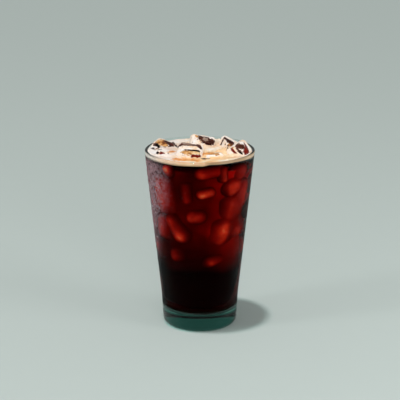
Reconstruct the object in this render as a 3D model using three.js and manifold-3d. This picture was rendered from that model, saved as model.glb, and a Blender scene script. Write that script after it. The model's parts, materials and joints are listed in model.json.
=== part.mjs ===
// An iced black coffee in a tall tapered glass, filled almost to the brim.
// Millimetres, +Z up. The origin is the middle of the foot, where the glass stands.
import * as THREE from "three";
import { mergeVertices } from "three/addons/utils/BufferGeometryUtils.js";
import Module from "manifold-3d";

const wasm = await Module();
wasm.setup();

// The glass: a straight cone from the rim down to a thick, slightly swollen base.
const glassHeight = 147;
const rimRadius = 44.45;
const coneRadiusAtFloor = 28.8; // where the straight side would meet the floor
const swellRadius = 30.9; // the thick base stands a little proud of the cone
const swellHeight = 12;
const swellTop = 28;
const heelRadius = 30.4;
const heelHeight = 5;
const footRadius = 25.8; // outer edge of the ring that touches the floor
const footInnerRadius = 20.5;
const puntDepth = 1.3; // the underside is hollowed inside the foot ring
const rimWall = 2.7;
const lowerWall = 3.6;
const baseThickness = 12.5;
const innerCorner = 8; // radius between the inside wall and the inside floor
const glassSides = 64;

// The drink and the layer of foam on it.
const wallGap = 0.3;
const drinkSides = 54;
const foamDrop = 3.5; // underside of the foam below the rim
const foamDropAtLift = 1.5; // the same where the drink stands higher at the right front
const foamTopDrop = 1.9; // upper side of the foam below the rim
const foamLeast = 1.1; // thinnest the foam gets

// Ice that stands out of the foam: middle, size, turn about X, Y and Z in degrees.
const iceGap = 0.3;
const iceSteps = 5;
const iceCubes = [
  { name: "ice_left", at: [-31.1, 15.2, 139.0], size: [18, 18.9, 19.1], turn: [18, -11, 44], wave: 0.4 },
  { name: "ice_left_front", at: [-28.6, -8.6, 138.2], size: [16, 14.5, 17.5], turn: [-14, 10, 4], wave: 1.9 },
  { name: "ice_center", at: [-8.2, -8.4, 141.0], size: [20.5, 20.5, 20], turn: [16, 3, -5], wave: 3.1 },
  { name: "ice_back", at: [1.0, 22.8, 142.8], size: [20.4, 18, 19.5], turn: [-14, 9, 8], wave: 4.6 },
  { name: "ice_peak", at: [23.4, 15.8, 142.1], size: [16.3, 16.2, 17.4], turn: [-9, 29, 22], wave: 5.7 },
  { name: "ice_right", at: [33.0, -4.0, 143.6], size: [16, 16.5, 19], turn: [-12, -32, -14], wave: 7.2 },
  { name: "ice_front", at: [11.2, -14.4, 137.7], size: [14, 15, 18], turn: [-10, -7, 14], wave: 8.8 },
];

// Foam heaped over ice that does not break the surface.
const foamHeaps = [
  { at: [21.5, -1.5], reach: 9, height: 3 },
  { at: [-31, 2.5], reach: 7, height: 1.2 },
];

const coneRadius = (z) => coneRadiusAtFloor + ((rimRadius - coneRadiusAtFloor) * z) / glassHeight;
const wallAt = (z) => THREE.MathUtils.mapLinear(z, swellTop, glassHeight, lowerWall, rimWall);
const innerRadius = (z) => coneRadius(z) - wallAt(z);

// A mesh geometry as a solid that can be joined and cut.
function toSolid(geometry) {
  const bare = geometry.clone();
  bare.deleteAttribute("normal");
  bare.deleteAttribute("uv");
  const merged = mergeVertices(bare, 1e-4);
  return new wasm.Manifold(
    new wasm.Mesh({
      numProp: 3,
      vertProperties: new Float32Array(merged.attributes.position.array),
      triVerts: new Uint32Array(merged.index.array),
    }),
  );
}

// The largest body of a solid, as a mesh geometry: slivers left by a cut are dropped.
function toGeometry(solid) {
  const bodies = solid.decompose();
  const largest = bodies.reduce((a, b) => (b.volume() > a.volume() ? b : a));
  const mesh = largest.getMesh();
  const geometry = new THREE.BufferGeometry();
  geometry.setAttribute("position", new THREE.BufferAttribute(mesh.vertProperties, 3));
  geometry.setIndex(new THREE.BufferAttribute(mesh.triVerts, 1));
  geometry.computeVertexNormals();
  return geometry;
}

// A lathe turns round Y, so the result is stood up on Z.
function turned(points, sides) {
  return new THREE.LatheGeometry(points, sides).rotateX(Math.PI / 2);
}

// Points on an arc, from one angle to another in degrees, without its first point.
function arcPoints(cx, cy, rx, ry, from, to, steps) {
  return Array.from({ length: steps }, (_, i) => {
    const a = THREE.MathUtils.degToRad(from + ((to - from) * (i + 1)) / steps);
    return new THREE.Vector2(cx + rx * Math.cos(a), cy + ry * Math.sin(a));
  });
}

// Round the lathe axis from the underside, up the outside, over the lip and down the inside.
function glassProfile() {
  const lip = rimWall / 2;
  const cornerZ = baseThickness + innerCorner;
  const cornerX = innerRadius(cornerZ) - innerCorner;
  return [
    new THREE.Vector2(0, puntDepth),
    new THREE.Vector2(footInnerRadius - 2, puntDepth),
    new THREE.Vector2(footInnerRadius, 0),
    new THREE.Vector2(footRadius, 0),
    ...arcPoints(footRadius, heelHeight, heelRadius - footRadius, heelHeight, -90, 0, 6),
    new THREE.Vector2(swellRadius, swellHeight),
    new THREE.Vector2(coneRadius(20) + 0.45, 20),
    new THREE.Vector2(coneRadius(swellTop), swellTop),
    new THREE.Vector2(rimRadius, glassHeight - lip),
    ...arcPoints(rimRadius - lip, glassHeight - lip, lip, lip, 0, 180, 6),
    new THREE.Vector2(innerRadius(swellTop), swellTop),
    new THREE.Vector2(innerRadius(cornerZ), cornerZ),
    ...arcPoints(cornerX, cornerZ, innerCorner, innerCorner, 0, -90, 6),
    new THREE.Vector2(0, baseThickness),
  ];
}

// A cube of ice, rounded and hollowed by melting. Growing it leaves a gap round it.
function iceBlock({ at, size, turn, wave }, grow = 0) {
  const geometry = new THREE.BoxGeometry(1, 1, 1, iceSteps, iceSteps, iceSteps);
  const half = new THREE.Vector3(...size).multiplyScalar(0.5);
  const round = Math.min(half.x, half.y, half.z) * 0.42;
  const core = half.clone().subScalar(round);
  const vertices = geometry.attributes.position;
  const p = new THREE.Vector3();
  const inner = new THREE.Vector3();
  for (let i = 0; i < vertices.count; i++) {
    p.fromBufferAttribute(vertices, i).multiplyScalar(2);
    const dish = 0.035 * (p.lengthSq() < 1.9 ? 1 : 0.3);
    p.multiply(half);
    inner.copy(p).clamp(core.clone().negate(), core);
    const outward = p.clone().sub(inner).normalize();
    const melt =
      0.35 * Math.sin(0.31 * p.x + wave) * Math.cos(0.27 * p.y - wave) + 0.3 * Math.sin(0.24 * p.z + 2 * wave);
    p.copy(inner).addScaledVector(outward, round - dish * half.x + melt + grow);
    vertices.setXYZ(i, p.x, p.y, p.z);
  }
  const angles = turn.map((a) => THREE.MathUtils.degToRad(a));
  const place = new THREE.Matrix4().makeRotationFromEuler(new THREE.Euler(...angles));
  place.setPosition(...at);
  return toSolid(geometry.applyMatrix4(place));
}

// How much of the right front lift a direction has: none at the left, steep at the front, full at the right.
function liftShare(angle) {
  const rise = THREE.MathUtils.smoothstep(angle, -1.53, -1.36);
  const fall = 1 - THREE.MathUtils.smoothstep(angle, -0.9, -0.15);
  return rise * fall;
}

// Height of the drink under the foam, by direction and share of the radius.
function drinkTop(angle, share) {
  const lift = (foamDrop - foamDropAtLift) * liftShare(angle) * THREE.MathUtils.smoothstep(share, 0.55, 0.95);
  const ripple = 0.2 * Math.sin(3 * angle + 0.6) * share + 0.12 * Math.sin(7 * angle) * share * share;
  return glassHeight - foamDrop + lift + ripple;
}

// Height of the foam: it climbs a little up the wall and round each cube of ice.
function foamTop(angle, share) {
  const x = share * rimRadius * Math.cos(angle);
  const y = share * rimRadius * Math.sin(angle);
  const climb = iceCubes.reduce((most, cube) => {
    const away = Math.hypot(x - cube.at[0], y - cube.at[1]) - cube.size[0] / 2;
    return Math.max(most, 1 - THREE.MathUtils.smoothstep(away, -1, 4));
  }, 0);
  const heaps = foamHeaps.reduce((sum, { at, reach, height }) => {
    const away = Math.hypot(x - at[0], y - at[1]) / reach;
    return sum + height * (1 - THREE.MathUtils.smoothstep(away, 0, 1));
  }, 0);
  const uneven = 0.25 * Math.sin(0.34 * x + 1.2) * Math.cos(0.29 * y + 0.4) + 0.15 * Math.sin(0.8 * x - 0.5 * y);
  const edge = 0.5 * THREE.MathUtils.smoothstep(share, 0.9, 1);
  const top = glassHeight - foamTopDrop + 1.1 * climb + heaps + uneven * (1 - edge) + edge;
  return Math.max(top, drinkTop(angle, share) + foamLeast);
}

// Moves a flat turned disc's rings to uneven heights and keeps its edge against the glass.
function shaped(geometry, heightOf, discRadius) {
  const vertices = geometry.attributes.position;
  for (let i = 0; i < vertices.count; i++) {
    const x = vertices.getX(i);
    const y = vertices.getY(i);
    const share = Math.hypot(x, y) / discRadius;
    const angle = Math.atan2(y, x);
    const z = heightOf(angle, share, vertices.getZ(i));
    if (z === null) continue;
    const r = share * (innerRadius(z) - wallGap);
    vertices.setXYZ(i, r * Math.cos(angle), r * Math.sin(angle), z);
  }
  return geometry;
}

// Rings of a disc from the middle out, or from the edge in.
function ringPoints(radius, z, rings, inward) {
  const shares = Array.from({ length: rings + 1 }, (_, i) => i / rings);
  if (inward) shares.reverse();
  return shares.map((share) => new THREE.Vector2(radius * share, z));
}

function drinkSolid() {
  const cornerZ = baseThickness + innerCorner;
  const cornerX = innerRadius(cornerZ) - innerCorner;
  const round = innerCorner - wallGap;
  const topRadius = innerRadius(glassHeight);
  const profile = [
    new THREE.Vector2(0, baseThickness + wallGap),
    new THREE.Vector2(cornerX, baseThickness + wallGap),
    ...arcPoints(cornerX, cornerZ, round, round, -90, 0, 5),
    new THREE.Vector2(innerRadius(swellTop) - wallGap, swellTop),
    ...ringPoints(topRadius, glassHeight, 6, true),
  ];
  const lathe = turned(profile, drinkSides);
  const level = (angle, share, z) => (z > glassHeight - 1 ? drinkTop(angle, share) : null);
  return toSolid(shaped(lathe, level, topRadius));
}

function foamSolid() {
  const topRadius = innerRadius(glassHeight);
  const profile = [...ringPoints(topRadius, 0, 6, false), ...ringPoints(topRadius, 1, 12, true)];
  const lathe = turned(profile, drinkSides);
  const level = (angle, share, z) => (z > 0.5 ? foamTop(angle, share) : drinkTop(angle, share) + wallGap);
  return toSolid(shaped(lathe, level, topRadius));
}

// The space inside the glass, to trim ice that presses against the wall.
function insideSolid() {
  const above = glassHeight + 20;
  return toSolid(
    turned(
      [
        new THREE.Vector2(0, swellTop),
        new THREE.Vector2(innerRadius(swellTop) - wallGap, swellTop),
        new THREE.Vector2(innerRadius(glassHeight) - wallGap, glassHeight),
        new THREE.Vector2(innerRadius(glassHeight) - wallGap, above),
        new THREE.Vector2(0, above),
      ],
      glassSides,
    ),
  );
}

const finishes = {
  glass: new THREE.MeshStandardMaterial({ color: 0xb8dcd2, roughness: 0.05, transparent: true, opacity: 0.35 }),
  coffee: new THREE.MeshStandardMaterial({ color: 0x2a0805, roughness: 0.2 }),
  foam: new THREE.MeshStandardMaterial({ color: 0xf0dcc0, roughness: 0.7 }),
  ice: new THREE.MeshStandardMaterial({ color: 0xd9c7bd, roughness: 0.1, transparent: true, opacity: 0.6 }),
};

const drink = new THREE.Group();

function addPart(name, geometry, material) {
  const mesh = new THREE.Mesh(geometry, material.clone());
  mesh.name = name;
  drink.add(mesh);
}

const inside = insideSolid();
const cutters = iceCubes.map((cube) => iceBlock(cube, iceGap));
const cutRound = (solid) => cutters.reduce((left, cutter) => left.subtract(cutter), solid);

addPart("glass", turned(glassProfile(), glassSides), finishes.glass);
addPart("coffee", toGeometry(cutRound(drinkSolid())), finishes.coffee);
addPart("foam", toGeometry(cutRound(foamSolid())), finishes.foam);
iceCubes.forEach((cube) => addPart(cube.name, toGeometry(iceBlock(cube).intersect(inside)), finishes.ice));

export default drink;
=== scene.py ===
import json
import math

import bpy
import numpy as np
from mathutils import Matrix, Vector

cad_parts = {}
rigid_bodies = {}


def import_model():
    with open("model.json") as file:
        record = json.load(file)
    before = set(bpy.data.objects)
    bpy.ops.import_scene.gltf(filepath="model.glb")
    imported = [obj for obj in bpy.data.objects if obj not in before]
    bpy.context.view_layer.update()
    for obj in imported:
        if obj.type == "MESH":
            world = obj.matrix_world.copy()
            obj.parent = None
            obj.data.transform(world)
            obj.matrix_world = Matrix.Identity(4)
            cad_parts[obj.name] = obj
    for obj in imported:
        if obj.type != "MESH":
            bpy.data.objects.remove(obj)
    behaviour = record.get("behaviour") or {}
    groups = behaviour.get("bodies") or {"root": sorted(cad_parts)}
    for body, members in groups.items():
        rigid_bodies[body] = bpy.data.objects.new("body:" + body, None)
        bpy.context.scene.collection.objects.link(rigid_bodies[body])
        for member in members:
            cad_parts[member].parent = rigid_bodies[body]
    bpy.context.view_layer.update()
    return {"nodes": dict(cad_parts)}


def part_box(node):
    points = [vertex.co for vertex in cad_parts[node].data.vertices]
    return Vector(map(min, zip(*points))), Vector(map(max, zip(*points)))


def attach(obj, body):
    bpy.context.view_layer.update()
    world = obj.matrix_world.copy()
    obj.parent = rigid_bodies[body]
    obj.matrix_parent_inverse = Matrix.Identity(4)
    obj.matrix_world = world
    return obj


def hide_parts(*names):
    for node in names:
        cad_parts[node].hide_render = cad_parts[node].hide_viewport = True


# Iced americano in a tall tapered glass, dressed over the CAD nodes.
# Everything is in metres, in the CAD's own frame, with the foot of the glass on the floor.

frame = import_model()
mm = 0.001
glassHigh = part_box("glass")[1]
glassHeight = glassHigh.z
rimRadius = glassHigh.x
print("frame loaded:", len(frame["nodes"]), "nodes, glass", round(glassHeight / mm, 1), "mm tall")


# Small tools for meshes and nodes

def smoothStep(value, low, high):
    share = np.clip((np.asarray(value, float) - low) / (high - low), 0.0, 1.0)
    return share * share * (3.0 - 2.0 * share)


def ripple(points, length, seed, waves=14):
    # smooth seeded unevenness, about -1 to 1, for an array of points
    dice = np.random.default_rng(seed)
    ways = dice.normal(size=(waves, 3))
    ways /= np.linalg.norm(ways, axis=1)[:, None]
    ways *= dice.uniform(0.6, 1.5, waves)[:, None] * 2.0 * math.pi / length
    phases = dice.uniform(0.0, 2.0 * math.pi, waves)
    return np.sin(points @ ways.T + phases).sum(axis=1) / math.sqrt(waves)


def addPiece(name, points, faces, material, sharpAngle=None):
    mesh = bpy.data.meshes.new(name)
    mesh.from_pydata(np.asarray(points, float).tolist(), [], [list(face) for face in faces])
    mesh.update()
    mesh.shade_smooth()
    if sharpAngle:
        mesh.set_sharp_from_angle(angle=math.radians(sharpAngle))
    mesh.materials.append(material)
    piece = bpy.data.objects.new(name, mesh)
    bpy.context.scene.collection.objects.link(piece)
    return piece


def addShare(piece, name, values):
    # a number for each vertex, which the material reads by name
    layer = piece.data.attributes.new(name, "FLOAT", "POINT")
    layer.data.foreach_set("value", np.ascontiguousarray(values, dtype=np.float32))


def turnedMesh(profile, sides):
    # turns points (radius, height) round Z; a radius of 0 is one point on the axis
    points = []
    rows = []
    for radius, height in profile:
        if radius < 1e-7:
            rows.append([len(points)] * sides)
            points.append((0.0, 0.0, height))
            continue
        rows.append(list(range(len(points), len(points) + sides)))
        for step in range(sides):
            angle = 2.0 * math.pi * step / sides
            points.append((radius * math.cos(angle), radius * math.sin(angle), height))
    faces = []
    for lower, upper in zip(rows[:-1], rows[1:]):
        for step in range(sides):
            after = (step + 1) % sides
            corners = [lower[step], lower[after], upper[after], upper[step]]
            faces.append(list(dict.fromkeys(corners)))
    return points, faces


def arcPoints(centre, radii, fromDegrees, toDegrees, steps):
    # points on an arc of a profile, without its first point
    angles = [math.radians(fromDegrees + (toDegrees - fromDegrees) * (i + 1) / steps) for i in range(steps)]
    return [(centre[0] + radii[0] * math.cos(a), centre[1] + radii[1] * math.sin(a)) for a in angles]


def newMaterial(name):
    material = bpy.data.materials.new(name)
    material.use_nodes = True
    material.node_tree.nodes.clear()
    return material, material.node_tree


def addNode(tree, kind, inputs=None, **settings):
    made = tree.nodes.new(kind)
    for name, value in settings.items():
        setattr(made, name, value)
    for key, value in (inputs or {}).items():
        if isinstance(value, bpy.types.NodeSocket):
            tree.links.new(value, made.inputs[key])
        else:
            made.inputs[key].default_value = value
    return made


def mathNode(tree, operation, *values, clamp=False):
    inputs = dict(enumerate(values))
    return addNode(tree, "ShaderNodeMath", inputs, operation=operation, use_clamp=clamp).outputs[0]


def mapNode(tree, value, low, high, toLow=0.0, toHigh=1.0):
    inputs = {"Value": value, "From Min": low, "From Max": high, "To Min": toLow, "To Max": toHigh}
    return addNode(tree, "ShaderNodeMapRange", inputs).outputs[0]


def placeAxes(tree):
    # where a point of the piece is, in metres
    place = addNode(tree, "ShaderNodeTexCoord").outputs["Object"]
    return addNode(tree, "ShaderNodeSeparateXYZ", {"Vector": place}).outputs


def shareNodes(tree, *names):
    # the numbers that addShare gave the vertices
    return [addNode(tree, "ShaderNodeAttribute", attribute_name=name).outputs["Fac"] for name in names]


def rampNode(tree, factor, *stops):
    ramp = addNode(tree, "ShaderNodeValToRGB", {"Fac": factor})
    elements = ramp.color_ramp.elements
    while len(elements) < len(stops):
        elements.new(0.5)
    for element, (place, colour) in zip(elements, stops):
        element.position = place
        element.color = (*colour, 1.0)
    return ramp.outputs["Color"]


def mixColours(tree, factor, first, second):
    mix = addNode(tree, "ShaderNodeMix", {"Factor": factor}, data_type="RGBA")
    for socket, colour in ((mix.inputs[6], first), (mix.inputs[7], second)):
        if isinstance(colour, bpy.types.NodeSocket):
            tree.links.new(colour, socket)
        else:
            socket.default_value = (*colour, 1.0)
    return mix.outputs[2]


def noiseNode(tree, scale, detail=3.0, seedShift=(0.0, 0.0, 0.0)):
    place = addNode(tree, "ShaderNodeTexCoord").outputs["Object"]
    moved = addNode(tree, "ShaderNodeMapping", {"Vector": place, "Location": seedShift}).outputs[0]
    return addNode(tree, "ShaderNodeTexNoise", {"Vector": moved, "Scale": scale, "Detail": detail}).outputs[0]


def bumpNode(tree, height, distance, strength=1.0):
    inputs = {"Height": height, "Distance": distance, "Strength": strength}
    return addNode(tree, "ShaderNodeBump", inputs).outputs[0]


def closeMaterial(tree, surface, volume=None, lampsPass=None):
    # lampsPass lets lamps shine through a clear surface: True, or the share that passes
    if lampsPass is not None:
        seen = addNode(tree, "ShaderNodeLightPath").outputs["Is Shadow Ray"]
        clearWay = addNode(tree, "ShaderNodeBsdfTransparent").outputs[0]
        factor = seen if lampsPass is True else mathNode(tree, "MULTIPLY", seen, lampsPass)
        surface = addNode(tree, "ShaderNodeMixShader", {0: factor, 1: surface, 2: clearWay}).outputs[0]
    output = addNode(tree, "ShaderNodeOutputMaterial", {"Surface": surface})
    if volume is not None:
        tree.links.new(volume, output.inputs["Volume"])


print("tools ready")


# Camera, lights and floor

studio = {
    "cameraAt": (0.0, -1.1, 0.428),
    "cameraAim": (0.0, 0.0, 0.1041),
    "lens": 126.8,
    "sensor": 36.0,
    "shiftX": 0.0005,
    "floorColour": (0.49, 0.55, 0.525),
    "floorGrain": 60.0,         # per metre
    "floorReach": 6.0,
    "worldColour": (0.90, 0.95, 0.93),
    "worldStrength": 0.27,
    "keyFrom": (-0.105, -0.09, 1.0),    # nearly overhead, from the left front
    "keyAngle": 3.6,
    "keyStrength": 1.65,
    # name: place, width and height, watts; the glass mirrors only the side lamp
    "lamps": {
        "sideLamp": ((-1.20, -0.48, 0.62), (0.26, 0.95), 4.6),
        "frontLamp": ((0.22, -1.35, 0.55), (0.9, 0.5), 6.5),
        "rightLamp": ((0.85, -0.45, 0.30), (0.4, 0.6), 3.5),
    },
}


def addLamp(name, place, aim, size, watts):
    lamp = bpy.data.lights.new(name, "AREA")
    lamp.shape = "RECTANGLE"
    lamp.size, lamp.size_y = size
    lamp.energy = watts
    holder = bpy.data.objects.new(name, lamp)
    holder.location = place
    holder.rotation_euler = (Vector(aim) - Vector(place)).to_track_quat("-Z", "Y").to_euler()
    bpy.context.scene.collection.objects.link(holder)
    return holder


def buildStudio():
    scene = bpy.context.scene
    camera = bpy.data.objects.new("camera", bpy.data.cameras.new("camera"))
    camera.data.sensor_width = studio["sensor"]
    camera.data.lens = studio["lens"]
    camera.data.shift_x = studio["shiftX"]
    camera.data.clip_end = 50.0
    camera.location = studio["cameraAt"]
    aim = Vector(studio["cameraAim"]) - Vector(studio["cameraAt"])
    camera.rotation_euler = aim.to_track_quat("-Z", "Y").to_euler()
    scene.collection.objects.link(camera)
    scene.camera = camera

    middle = (0.0, 0.0, 0.5 * glassHeight)
    key = bpy.data.lights.new("keyLamp", "SUN")
    key.energy = studio["keyStrength"]
    key.angle = math.radians(studio["keyAngle"])
    keyHolder = bpy.data.objects.new("keyLamp", key)
    keyHolder.rotation_euler = Vector(studio["keyFrom"]).to_track_quat("Z", "Y").to_euler()
    scene.collection.objects.link(keyHolder)
    for name, (place, size, watts) in studio["lamps"].items():
        lamp = addLamp(name, place, middle, size, watts)
        lamp.visible_glossy = lamp.visible_transmission = name == "sideLamp"

    world = bpy.data.worlds.new("studioWorld")
    world.use_nodes = True
    backdrop = world.node_tree.nodes["Background"]
    backdrop.inputs["Color"].default_value = (*studio["worldColour"], 1.0)
    backdrop.inputs["Strength"].default_value = studio["worldStrength"]
    scene.world = world

    material, tree = newMaterial("floorPaint")
    speckle = noiseNode(tree, studio["floorGrain"])
    colour = mixColours(tree, speckle, studio["floorColour"], tuple(0.985 * c for c in studio["floorColour"]))
    shader = addNode(tree, "ShaderNodeBsdfPrincipled", {"Base Color": colour, "Roughness": 0.9})
    shader.inputs["Specular IOR Level"].default_value = 0.1
    closeMaterial(tree, shader.outputs[0])
    reach = studio["floorReach"]
    corners = [(-reach, -reach, 0.0), (reach, -reach, 0.0), (reach, reach, 0.0), (-reach, reach, 0.0)]
    mesh = bpy.data.meshes.new("floor")
    mesh.from_pydata(corners, [], [(0, 1, 2, 3)])
    mesh.materials.append(material)
    floor = bpy.data.objects.new("floor", mesh)
    scene.collection.objects.link(floor)

    scene.view_settings.view_transform = "Standard"
    scene.cycles.use_denoising = True
    scene.cycles.max_bounces = 24
    scene.cycles.transmission_bounces = 20
    scene.cycles.transparent_max_bounces = 24


buildStudio()
print("studio ready")


# The glass: a straight cone over a thick, slightly swollen base

glass = {
    "coneAtFloor": 28.8 * mm,   # where the straight side would meet the floor
    "rimWall": 2.7 * mm,
    "lowerWall": 3.6 * mm,
    "baseThickness": 12.5 * mm,
    "innerCorner": 8.0 * mm,
    "swell": 1.1 * mm,          # how far the base stands proud of the cone
    "swellTop": 28.0 * mm,
    "heelHeight": 5.0 * mm,
    "footRadius": 25.8 * mm,
    "footInner": 20.5 * mm,
    "footEase": 0.7 * mm,
    "punt": 1.3 * mm,
    "puntEdge": ((2.4, 1.0), (1.4, 0.9), (0.6, 0.35), (0.0, 0.05)),  # millimetres in from the foot, share
    "sides": 192,
    "ior": 1.5,
    "tint": (0.10, 0.60, 0.54),
    "tintDensity": 76.0,        # per metre of glass
    "gloss": 0.4,               # how strongly the rim and the base mirror the studio
    "sideGloss": 0.08,          # and the side in front of the drink
    "pressedWaves": 9.0,        # how much wavier the base is than the side
    "glossyCorner": 5.0 * mm,   # how far above the floor inside the base still mirrors
    "glossyRim": 2.6 * mm,      # and how far down the rim does
    "waves": 45.0,              # per metre, of the unevenness of the surface
    "waveDepth": 0.25 * mm,
    "waveStrength": 0.15,
    "smears": 120.0,
    "roughest": 0.016,
}


def coneRadius(z):
    return glass["coneAtFloor"] + (rimRadius - glass["coneAtFloor"]) * z / glassHeight


def innerRadius(z):
    share = (z - glass["swellTop"]) / (glassHeight - glass["swellTop"])
    return coneRadius(z) - (glass["lowerWall"] + (glass["rimWall"] - glass["lowerWall"]) * share)


def outerRadius(z):
    swell = 1.0 - float(smoothStep(z, glass["heelHeight"], glass["swellTop"]))
    return coneRadius(z) + glass["swell"] * swell


def glossShare(tree):
    # the rim and the base mirror the studio, the outside before the drink little, the wet inside not at all
    axes = placeAxes(tree)
    flat = addNode(tree, "ShaderNodeCombineXYZ", {"X": axes["X"], "Y": axes["Y"]}).outputs[0]
    radius = addNode(tree, "ShaderNodeVectorMath", {0: flat}, operation="LENGTH").outputs["Value"]
    slope = (rimRadius - glass["coneAtFloor"]) / glassHeight
    middle = mathNode(tree, "MULTIPLY_ADD", axes["Z"], slope, glass["coneAtFloor"] - 0.5 * glass["rimWall"])
    outward = mathNode(tree, "GREATER_THAN", radius, middle)
    overFloor = mathNode(tree, "GREATER_THAN", axes["Z"], glass["baseThickness"] + glass["glossyCorner"])
    underLevel = mathNode(tree, "LESS_THAN", axes["Z"], glassHeight - glass["glossyRim"])
    drinkHere = mathNode(tree, "MULTIPLY", overFloor, underLevel)
    side = mathNode(tree, "MULTIPLY", outward, glass["sideGloss"])
    dry = mathNode(tree, "MULTIPLY", mathNode(tree, "SUBTRACT", 1.0, drinkHere), glass["gloss"])
    return mathNode(tree, "MAXIMUM", side, dry)


def glassMaterial():
    material, tree = newMaterial("clearGlass")
    waves = noiseNode(tree, glass["waves"], 2.0)
    smears = noiseNode(tree, glass["smears"], 4.0)
    base = glass["baseThickness"]
    pressed = mapNode(tree, placeAxes(tree)["Z"], base, 0.6 * base, 1.0, glass["pressedWaves"])
    roughness = mathNode(tree, "MULTIPLY", smears, glass["roughest"])
    share = glossShare(tree)
    gloss = mixColours(tree, share, (0.0, 0.0, 0.0), (1.0, 1.0, 1.0))
    uneven = mathNode(tree, "MULTIPLY", waves, pressed)
    shader = addNode(tree, "ShaderNodeBsdfPrincipled", {
        "Base Color": (1.0, 1.0, 1.0, 1.0), "Roughness": roughness, "IOR": glass["ior"],
        "Transmission Weight": 1.0, "Specular Tint": gloss,
        "Normal": bumpNode(tree, uneven, glass["waveDepth"], glass["waveStrength"])})
    inputs = {"Color": (*glass["tint"], 1.0), "Density": glass["tintDensity"]}
    tint = addNode(tree, "ShaderNodeVolumeAbsorption", inputs).outputs[0]
    # where the glass mirrors little, most of it only bends the light, at flat angles too
    bends = addNode(tree, "ShaderNodeBsdfRefraction", {
        "Color": (1.0, 1.0, 1.0, 1.0), "Roughness": roughness, "IOR": glass["ior"]}).outputs[0]
    mirrors = mathNode(tree, "DIVIDE", share, glass["gloss"], clamp=True)
    surface = addNode(tree, "ShaderNodeMixShader", {0: mirrors, 1: bends, 2: shader.outputs[0]}).outputs[0]
    closeMaterial(tree, surface, tint, lampsPass=True)
    return material


def buildGlass():
    g = glass
    lip = 0.5 * g["rimWall"]
    cornerZ = g["baseThickness"] + g["innerCorner"]
    cornerX = innerRadius(cornerZ) - g["innerCorner"]
    heelRadius = outerRadius(g["heelHeight"])
    heelReach = heelRadius - g["footRadius"]
    wallHeights = np.linspace(g["heelHeight"], g["swellTop"], 14)[1:]
    profile = [
        (0.0, g["punt"]),
        (0.5 * g["footInner"], g["punt"]),
        *[(g["footInner"] - inward * mm, share * g["punt"]) for inward, share in g["puntEdge"]],
        (g["footInner"] + g["footEase"], 0.0),
        (g["footRadius"] - g["footEase"], 0.0),
        *arcPoints((g["footRadius"], g["heelHeight"]), (heelReach, g["heelHeight"]), -90, 0, 14),
        *[(outerRadius(z), z) for z in wallHeights],
        *[(coneRadius(z), z) for z in np.linspace(g["swellTop"], glassHeight - lip, 9)[1:]],
        *arcPoints((rimRadius - lip, glassHeight - lip), (lip, lip), 0, 180, 16),
        *[(innerRadius(z), z) for z in np.linspace(glassHeight - lip, cornerZ, 12)[1:]],
        *arcPoints((cornerX, cornerZ), (g["innerCorner"], g["innerCorner"]), 0, -90, 14),
        (0.5 * cornerX, g["baseThickness"]),
        (0.0, g["baseThickness"]),
    ]
    points, faces = turnedMesh(profile, g["sides"])
    piece = addPiece("tumbler", points, faces, glassMaterial())
    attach(piece, "root")
    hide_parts("glass")


buildGlass()
print("glass ready")


# Ice that stands out of the foam: each block follows its CAD node

iceForm = {
    "blocks": {             # millimetres and degrees
        "ice_left": {
            "at": (-31.1, 15.2, 139.0), "size": (18, 18.9, 19.1), "turn": (18, -11, 44), "wave": 0.4},
        "ice_left_front": {
            "at": (-28.6, -8.6, 138.2), "size": (16, 14.5, 17.5), "turn": (-14, 10, 4), "wave": 1.9},
        "ice_center": {
            "at": (-8.2, -8.4, 141.0), "size": (20.5, 20.5, 20), "turn": (16, 3, -5), "wave": 3.1},
        "ice_back": {
            "at": (1.0, 22.8, 142.8), "size": (20.4, 18, 19.5), "turn": (-14, 9, 8), "wave": 4.6},
        "ice_peak": {
            "at": (23.4, 15.8, 142.1), "size": (16.3, 16.2, 17.4), "turn": (-9, 29, 22), "wave": 5.7},
        "ice_right": {
            "at": (33.0, -4.0, 143.6), "size": (16, 16.5, 19), "turn": (-12, -32, -14), "wave": 7.2},
        "ice_front": {
            "at": (11.2, -14.4, 137.7), "size": (14, 15, 18), "turn": (-10, -7, 14), "wave": 8.8},
    },
    "steps": 56,
    "rounding": 0.42,
    "dish": 0.035,
    "wallGap": 0.3 * mm,
    "ior": 1.31,
    "foamCoat": ((0.90, 0.60, 0.38), (0.94, 0.80, 0.68), (0.97, 0.92, 0.90)),
    "amber": ((0.20, 0.06, 0.018), (0.78, 0.37, 0.12), (0.97, 0.68, 0.36)),
    "wine": (0.26, 0.018, 0.010),
    "window": (0.15, 0.035, 0.025),   # the dark drink shines through the bare ice
    "markSpread": 1.3,
    "crumbs": 900.0,            # grain of the skin of foam, per metre
    "patches": 160.0,
    "streaks": 260.0,
    "speckSizes": (2.6 * mm, 1.1 * mm),
    "specksFrom": (1.55, 1.95),     # how far out of the ordinary the skin tears
    "coatFrom": (-1.5, -0.5),       # millimetres over the foam, where the skin starts
    "skin": (0.18, 0.10),           # millimetres, even and uneven part
    "seeds": (40, 60, 80),
    "meltDepths": (0.35, 0.3),      # millimetres
    "meltTurns": (0.31, 0.27, 0.24),    # per millimetre along X, Y and Z
    "cutShrink": 0.12 * mm,
}

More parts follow.
